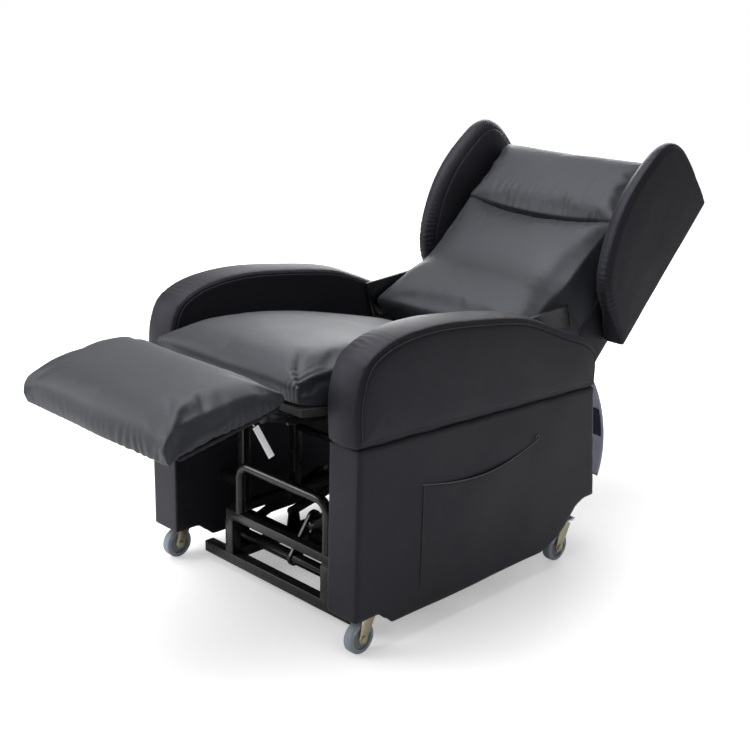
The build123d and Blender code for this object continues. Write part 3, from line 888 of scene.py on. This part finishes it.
def makeArms():
    ob, corners, outline, x0, x1 = softBlock("armLeft", "arm_left", armLook["sharp"], armLook["voxel"])
    relax(ob, 4)
    subdivide(ob)
    places = points(ob)
    middle, half = (x0 + x1) / 2, (x1 - x0) / 2
    roll = (armLook["roll"], armLook["roll"])
    movePoints(ob, roundEdges(places, outline, x0, x1, roll, roll))
    relax(ob, 2)
    places, outward = points(ob), normals(ob)
    depth, _, _ = nearest(places, outline)
    across = np.clip((places[:, 0] - middle) / half, -1, 1)
    onFace = smoothStep(np.abs(outward[:, 0]), 0.6, 0.95)
    # the face towards the sitter stays flat, clear of the back plates
    faceHeight = np.where(outward[:, 0] < 0, armLook["innerCrown"], armLook["faceCrown"])
    faceCrown = faceHeight * (1 - np.exp(-np.maximum(depth - armLook["seamInset"], 0) / 0.03)) * onFace
    stripCrown = armLook["stripCrown"] * (1 - across ** 2) * (1 - onFace)
    seam = np.exp(-((depth - armLook["seamInset"]) / 0.0035) ** 2)
    seam = seam * smoothStep(np.abs(outward[:, 0]), 0.3, 0.9)
    wrinkle = 0.0007 * (ripple(places, 0.30, 31) - 0.8) + 0.00012 * ripple(places, 0.05, 32)
    # the strip is eased in a little where the crown turns tightest
    tight = np.exp(-((places[:, 1] - places[:, 1].min() - 0.06) / 0.05) ** 2)
    tight = tight * smoothStep(places[:, 2], 0.62, 0.70)
    pucker = armLook["pucker"] * np.sin(places[:, 1] * 420 + 2 * ripple(places, 0.05, 33)) * tight
    pucker = pucker * np.exp(-np.maximum(depth, 0) / 0.02)
    shift = faceCrown + stripCrown - armLook["seamDepth"] * seam + wrinkle + pucker
    movePoints(ob, places + outward * shift[:, None])
    smoothShade(ob)
    right = mirrorCopy(ob, "armRight")
    for arm, node in ((ob, "arm_left"), (right, "arm_right")):
        finishPiece(arm, "chair", "side_leather", "sideHide")
        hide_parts(node)
    # sewn seams where the faces meet the strip, along the crown only
    inset = offsetOutline(outline, armLook["seamInset"])
    crown = crownPath(inset, corners)
    seams = [threadAlong("seam", np.column_stack([np.full(len(crown), x), crown]), armLook["threadRadius"])
             for x in (x0 - 0.0002, x1 + 0.0002)]
    left = joinPieces("armSeamsLeft", seams)
    rightSeams = mirrorCopy(left, "armSeamsRight")
    for thread in (left, rightSeams):
        finishPiece(thread, "chair", "side_leather", "seamThread")


def crownPath(inset, corners):
    # the part of an arm's outline from its front bottom corner over the top to the rear bottom corner
    front = corners[(corners[:, 0] + corners[:, 1]).argmin()]
    rear = corners[(corners[:, 0] - corners[:, 1]).argmax()]
    a = np.linalg.norm(inset - front, axis=1).argmin()
    b = np.linalg.norm(inset - rear, axis=1).argmin()
    ordered = np.roll(inset, -b, axis=0)
    stop = (a - b) % len(inset)
    return ordered[:stop + 1]


# wings
wingLook = {"sharp": 40, "voxel": 0.006, "innerRoll": (0.078, 0.042), "outerRoll": (0.020, 0.016),
            "rearRoll": 0.006, "innerPuff": 0.005, "outerPuff": 0.0028, "pucker": 0.0007}


def outOf(where):
    return (where - backFoot) @ backOut


def makeWings():
    ob, _, outline, x0, x1 = softBlock("wingLeft", "wing_left", wingLook["sharp"], wingLook["voxel"])
    relax(ob, 4)
    subdivide(ob)
    places = points(ob)
    _, _, where = nearest(places, outline)
    rim = smoothStep(outOf(where), 0.015, 0.11)
    rear = wingLook["rearRoll"]
    inner = [rear + (wingLook["innerRoll"][k] - rear) * rim for k in (0, 1)]
    outer = [rear + (wingLook["outerRoll"][k] - rear) * rim for k in (0, 1)]
    movePoints(ob, roundEdges(places, outline, x0, x1, inner, outer))
    relax(ob, 7)
    places, outward = points(ob), normals(ob)
    depth, _, where = nearest(places, outline)
    local = toBack(places)
    puff = np.where(outward[:, 0] < 0, wingLook["innerPuff"], wingLook["outerPuff"])
    puff = puff * smoothStep(depth, 0.0, 0.09) * smoothStep(np.abs(outward[:, 0]), 0.4, 0.9)
    # small scallops where the cover is drawn over the rim, stronger towards the foot
    rimBand = np.exp(-((depth - 0.010) / 0.012) ** 2) * smoothStep(outOf(where), 0.05, 0.14)
    foot = 0.12 + 0.88 * (1 - smoothStep(local[:, 1], 0.03, 0.22))
    walk = np.arctan2(where[:, 1] - outline[:, 1].mean(), where[:, 0] - outline[:, 0].mean())
    pucker = np.sin(walk * 95 + 2.4 * ripple(places, 0.07, 41)) * rimBand * foot
    wrinkle = 0.0009 * ripple(places, 0.32, 42) + 0.00015 * ripple(places, 0.06, 43)
    movePoints(ob, places + outward * (puff + wingLook["pucker"] * pucker + wrinkle)[:, None])
    smoothShade(ob)
    right = mirrorCopy(ob, "wingRight")
    for wing, node in ((ob, "wing_left"), (right, "wing_right")):
        finishPiece(wing, "back", "side_leather", "sideHide")
        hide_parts(node)


print("soft parts start")
makeSeat()
makeBackPads()
makeLegrestPad()
makeArms()
makeWings()
print("cushions, arms and wings made")


# boards wrapped in hide: side panels, back shell, legrest board
boards = {  # CAD node, body, mesh size, smoothing passes, unevenness
    "sidePanelLeft": ("side_panel_left", "chair", 0.006, 5, 0.0009),
    "sidePanelRight": ("side_panel_right", "chair", 0.006, 5, 0.0009),
    "backShell": ("back_shell", "back", 0.006, 3, 0.0007),
    "legrestBoard": ("legrest_board", "legrest", 0.0045, 3, 0.0004),
}


def makeBoards():
    for name, (node, body, voxel, passes, swell) in boards.items():
        ob = closedCopy(node, name)
        applyModifier(ob, "REMESH", mode="VOXEL", voxel_size=voxel)
        relax(ob, passes)
        places, outward = points(ob), normals(ob)
        soft = ripple(places, 0.34, 51) + 0.25 * ripple(places, 0.09, 52)
        movePoints(ob, places + outward * (swell * (soft - 0.5))[:, None])
        smoothShade(ob)
        finishPiece(ob, body, "side_leather", "sideHide")
        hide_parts(node)


# side pocket
pocketLook = {"columns": 64, "rows": 40, "bulge": 0.0045, "hemRadius": 0.0018, "seamRadius": 0.0009,
              "sag": 0.0155, "drop": 0.022, "frontLift": 0.016, "rearLift": 0.022, "edge": 0.006,
              "loop": 0.006, "sunk": 0.0005, "clothThickness": 0.0007}


def makePocket():
    low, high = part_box("side_pocket")
    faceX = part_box("side_panel_left")[1].x
    columns, rows = pocketLook["columns"], pocketLook["rows"]
    across, up = np.meshgrid(np.linspace(0, 1, columns), np.linspace(0, 1, rows))
    across, up = across.ravel(), up.ravel()
    # the hem hangs in a shallow curve, highest at its rear end
    hem = high.z - pocketLook["drop"] - pocketLook["sag"] * np.sin(math.pi * across)
    hem = hem + pocketLook["frontLift"] * (1 - across) ** 3 + pocketLook["rearLift"] * across ** 5
    top = np.minimum(hem, high.z)
    y = low.y + across * (high.y - low.y)
    z = low.z + up * (top - low.z)
    free = np.sin(math.pi * across) ** 1.5 * smoothStep(up, 0.0, 1.0)
    panel = bpy.data.objects["sidePanelLeft"]
    skin = BVHTree.FromObject(panel, bpy.context.evaluated_depsgraph_get())
    inwards = Vector((-1, 0, 0))
    surface = np.array([skin.ray_cast(Vector((faceX + 0.05, b, c)), inwards)[0].x for b, c in zip(y, z)])
    uneven = 0.0005 * ripple(np.stack([y * 0, y, z], 1), 0.09, 61) * free
    x = surface - pocketLook["sunk"] + pocketLook["bulge"] * free + uneven
    flap = gridObject("pocketFlap", np.stack([x, y, z], 1), rows, columns)
    applyModifier(flap, "SOLIDIFY", thickness=pocketLook["clothThickness"], offset=0)
    smoothShade(flap)
    finishPiece(flap, "chair", "side_leather", "sideHide")
    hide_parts("side_pocket")
    edge = slice((rows - 1) * columns, rows * columns)
    hemPath = np.stack([np.maximum(x[edge], surface[edge] + 0.0004) + 0.0004, y[edge], z[edge]], 1)
    # the elastic's end stands up in a small loop at the rear
    end, size = hemPath[-1], pocketLook["loop"]
    turns = np.linspace(0, 1.6 * math.pi, 14)
    loop = np.stack([np.full(len(turns), end[0] + 0.0008), end[1] + size * np.sin(turns),
                     end[2] + size - size * np.cos(turns)], 1)
    hemTube = threadAlong("pocketHem", np.concatenate([hemPath, loop[1:]]), pocketLook["hemRadius"], sides=8)
    finishPiece(hemTube, "chair", "side_leather", "hemThread")
    # only the front seam shows on the panel
    sideX = faceX + 0.0010
    seamY = low.y + pocketLook["edge"]
    path = [(sideX, seamY, low.z + 0.006 + (z[edge][0] - low.z - 0.010) * t) for t in np.linspace(0, 1, 40)]
    stitches = threadAlong("pocketStitches", path, pocketLook["seamRadius"])
    finishPiece(stitches, "chair", "side_leather", "seamThread")


# rear drape
drapeLook = {"columns": 60, "rows": 48, "fold": 0.006, "thickness": 0.0014, "hem": 0.0016,
             "patchRows": (20, 33), "patchColumns": 6, "patchOff": 0.0022, "patchThickness": 0.001}


def makeDrape():
    corners, x0, x1 = sideOutline("rear_drape")
    # the middle line of the CAD outline, from its top edge down to its hem
    ordered = corners[corners[:, 1].argsort()[::-1]]
    levels = np.unique(np.round(ordered[:, 1], 4))[::-1]
    line = np.array([ordered[np.abs(ordered[:, 1] - level) < 0.0006].mean(axis=0) for level in levels])
    rows, columns = drapeLook["rows"], drapeLook["columns"]
    down = np.linspace(0, 1, rows)
    lengths = lengthsAlong(line)
    smoothY = np.poly1d(np.polyfit(lengths, line[:, 0], 4))
    smoothZ = np.poly1d(np.polyfit(lengths, line[:, 1], 4))
    at = down * lengths[-1]
    x = np.linspace(x0, x1, columns)
    acrossGrid, downGrid = np.meshgrid(x, np.arange(rows))
    y = smoothY(at)[downGrid]
    z = smoothZ(at)[downGrid]
    hang = smoothStep(down, 0.05, 0.9)[downGrid]
    folds = np.sin(acrossGrid * 36 + 0.6) * 0.6 + np.sin(acrossGrid * 83 + 1.9) * 0.3
    y = y + drapeLook["fold"] * (folds - 0.6) * hang
    verts = np.stack([acrossGrid.ravel(), y.ravel(), z.ravel()], 1)
    ob = gridObject("rearDrape", verts, rows, columns)
    ob.data.materials.append(materials["navyCloth"])
    ob.data.materials.append(materials["liningCloth"])
    applyModifier(ob, "SOLIDIFY", thickness=drapeLook["thickness"], offset=0, material_offset=1,
                  material_offset_rim=0)
    # the face towards the chair is the lining
    lined = sum(1 for p in ob.data.polygons if p.material_index == 1 and p.normal.y < 0)
    if lined < len(ob.data.polygons) / 4:
        for p in ob.data.polygons:
            p.material_index = 1 - p.material_index
    smoothShade(ob)
    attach(ob, "rear_drape")
    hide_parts("rear_drape")
    last = (rows - 1) * columns
    hem = threadAlong("drapeHem", verts[last:last + columns], drapeLook["hem"], sides=8)
    finishPiece(hem, "rear_drape", "drape_cloth", "navyCloth")
    # a small patch sewn to the lining near the left edge
    top, bottom = drapeLook["patchRows"]
    grid = verts.reshape(rows, columns, 3)[top:bottom, -1 - drapeLook["patchColumns"]:-1].copy()
    grid[:, :, 1] -= drapeLook["patchOff"]
    patch = gridObject("drapePatch", grid.reshape(-1, 3), *grid.shape[:2])
    applyModifier(patch, "SOLIDIFY", thickness=drapeLook["patchThickness"], offset=0)
    smoothShade(patch)
    finishPiece(patch, "rear_drape", "drape_cloth", "patchCloth")


# castors
castorLook = {"sides": 48, "treadRound": 0.0042,
              "rings": ((0.0045, 0.0), (0.0065, 0.0), (0.0010, -0.0028), (0.0105, 0.0007), (0.0012, 0.0022),
                        (0.0060, 0.0004), (0.0006, -0.0020))}
raceLook = {"radius": 0.0215, "depth": 0.0085, "height": 0.1008, "round": 0.0028}
forkEdge = 0.0011
castorNames = ("front_left", "front_right", "rear_left", "rear_right")


def pick(ob, kind, test):
    bpy.ops.object.mode_set(mode="EDIT")
    bpy.ops.mesh.select_mode(type=kind)
    bpy.ops.mesh.select_all(action="DESELECT")
    work = bmesh.from_edit_mesh(ob.data)
    for item in work.faces if kind == "FACE" else work.edges:
        item.select_set(test(item))
    if kind == "FACE":
        work.select_flush_mode()
    bmesh.update_edit_mesh(ob.data)


def shadeByAngle(ob, degrees):
    activate(ob)
    bpy.ops.object.shade_smooth_by_angle(angle=math.radians(degrees))


def makeWheelMaster(radius, width):
    deselectAll()
    bpy.ops.mesh.primitive_cylinder_add(vertices=castorLook["sides"], radius=radius, depth=width,
                                        rotation=(0, math.pi / 2, 0))
    wheel = bpy.context.object
    bpy.ops.object.transform_apply(rotation=True)
    pick(wheel, "FACE", lambda face: abs(face.normal.x) > 0.9)
    for thickness, depth in castorLook["rings"]:
        bpy.ops.mesh.inset(thickness=thickness, depth=depth, use_individual=True)
    pick(wheel, "EDGE", lambda edge: all(math.hypot(v.co.y, v.co.z) > radius * 0.99 for v in edge.verts)
         and abs(edge.verts[0].co.x - edge.verts[1].co.x) < 1e-5)
    bpy.ops.mesh.bevel(offset=castorLook["treadRound"], segments=4)
    bpy.ops.object.mode_set(mode="OBJECT")
    wheel.data.materials.append(materials["treadGrey"])
    wheel.data.materials.append(materials["discGrey"])
    treadInner = radius - castorLook["rings"][0][0] - castorLook["rings"][1][0]
    for face in wheel.data.polygons:
        face.material_index = 0 if math.hypot(face.center.y, face.center.z) > treadInner - 0.0005 else 1
    shadeByAngle(wheel, 28)
    return wheel


def makeCastors():
    low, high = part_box("castor_wheel_front_left")
    master = makeWheelMaster((high.z - low.z) / 2, high.x - low.x)
    for name in castorNames:
        low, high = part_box("castor_wheel_" + name)
        wheel = newObject("castorWheel_" + name, master.data.copy())
        wheel.data.transform(Matrix.Translation((low + high) / 2))
        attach(wheel, "wheel_" + name)
        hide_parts("castor_wheel_" + name)
        fork = closedCopy("castor_fork_" + name, "castorFork_" + name)
        softenEdges(fork, forkEdge)
        finishPiece(fork, "castor_" + name, "yellow_zinc", "yellowZinc")
        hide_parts("castor_fork_" + name)
        makeRace(name)
    bpy.data.objects.remove(master)


def makeRace(name):
    # the pressed ball-race cup under the top plate
    joint = [j for j in frame["joints"] if j["name"] == "swivel_" + name][0]
    deselectAll()
    bpy.ops.mesh.primitive_cylinder_add(vertices=40, radius=raceLook["radius"], depth=raceLook["depth"],
                                        location=(*joint["pos_m"][:2], raceLook["height"]))
    cup = bpy.context.object
    cup.name = "castorRace_" + name
    bpy.ops.object.transform_apply(location=True)
    pick(cup, "EDGE", lambda edge: abs(edge.verts[0].co.z - edge.verts[1].co.z) < 1e-5)
    bpy.ops.mesh.bevel(offset=raceLook["round"], segments=3)
    bpy.ops.object.mode_set(mode="OBJECT")
    shadeByAngle(cup, 35)
    finishPiece(cup, "castor_" + name, "zinc_steel", "brightZinc")


# steel frame, motors and small parts
def softenEdges(ob, width, segments=2):
    # a small radius along the hard edges, as bent and welded steel has
    applyModifier(ob, "BEVEL", width=width, segments=segments, limit_method="ANGLE",
                  angle_limit=math.radians(38), harden_normals=False)
    shadeByAngle(ob, 32)


hardParts = {
    "powderBlack": {"edge": 0.0018, "slot": "black_steel", "nodes": (
        "base_cross_bars", "base_side_rails", "stop_posts", "castor_carrier_bars", "castor_rails",
        "lift_frame_cross_bars", "lift_frame_rails", "seat_posts", "seat_rails", "panel_brackets",
        "back_frame_rails", "back_frame_bars")},
    "powderBlackPlate": {"edge": 0.0008, "slot": "black_steel", "nodes": (
        "base_link_brackets", "power_tray", "lift_motor_brackets", "front_lift_links", "torque_tube",
        "rear_lift_links", "frame_link_plates", "back_motor_bar", "back_hinge_plates", "back_side_plates",
        "back_crank_tube", "legrest_links", "legrest_torque_tube", "legrest_brackets")},
    "brightZinc": {"edge": 0.0007, "slot": "zinc_steel", "nodes": (
        "castor_plates", "lift_rod", "back_motor_rod")},
    "mouldedBlack": {"edge": 0.0016, "slot": "black_plastic", "nodes": (
        "bar_end_caps", "power_supply", "lift_motor", "back_motor")},
    "rubberBlack": {"edge": 0.0010, "slot": "rubber_pad", "nodes": ("stop_pads",)},
    "cardWhite": {"edge": 0.0003, "slot": "white_label", "nodes": ("blank_label",)},
}


def camelName(node):
    words = node.split("_")
    return words[0] + "".join(w.title() for w in words[1:])


def bodyOf(node):
    groups = frame["record"]["behaviour"]["bodies"]
    return [body for body, members in groups.items() if node in members][0]


labelWidth = 1.6


def widen(ob, amount):
    # stretches a flat card along its own width
    places = points(ob)
    middle = (places.min(axis=0) + places.max(axis=0)) / 2
    across = np.linalg.svd(places - places.mean(axis=0), full_matrices=False)[2][1]
    movePoints(ob, places + np.outer((places - middle) @ across * (amount - 1), across))


def makeHardParts():
    for finish, family in hardParts.items():
        material = finish.replace("Plate", "")
        for node in family["nodes"]:
            ob = closedCopy(node, camelName(node))
            if node == "blank_label":
                widen(ob, labelWidth)
            softenEdges(ob, family["edge"])
            finishPiece(ob, bodyOf(node), family["slot"], material)
            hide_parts(node)
    for node, finish in (("lift_frame_hoop", "powderBlack"), ("seat_deck", "underlayCloth")):
        for slotted in nodes[node].material_slots:
            slotted.material = materials[finish]


def makeFloor():
    deselectAll()
    bpy.ops.mesh.primitive_plane_add(size=16, location=(0, 0, cadBounds[0][2]))
    floor = bpy.context.object
    floor.name = "paleFloor"
    floor.data.materials.append(materials["paleFloor"])


makeBoards()
makePocket()
makeDrape()
makeCastors()
makeHardParts()
makeFloor()
print("boards, pocket, drape, castors and steel made")
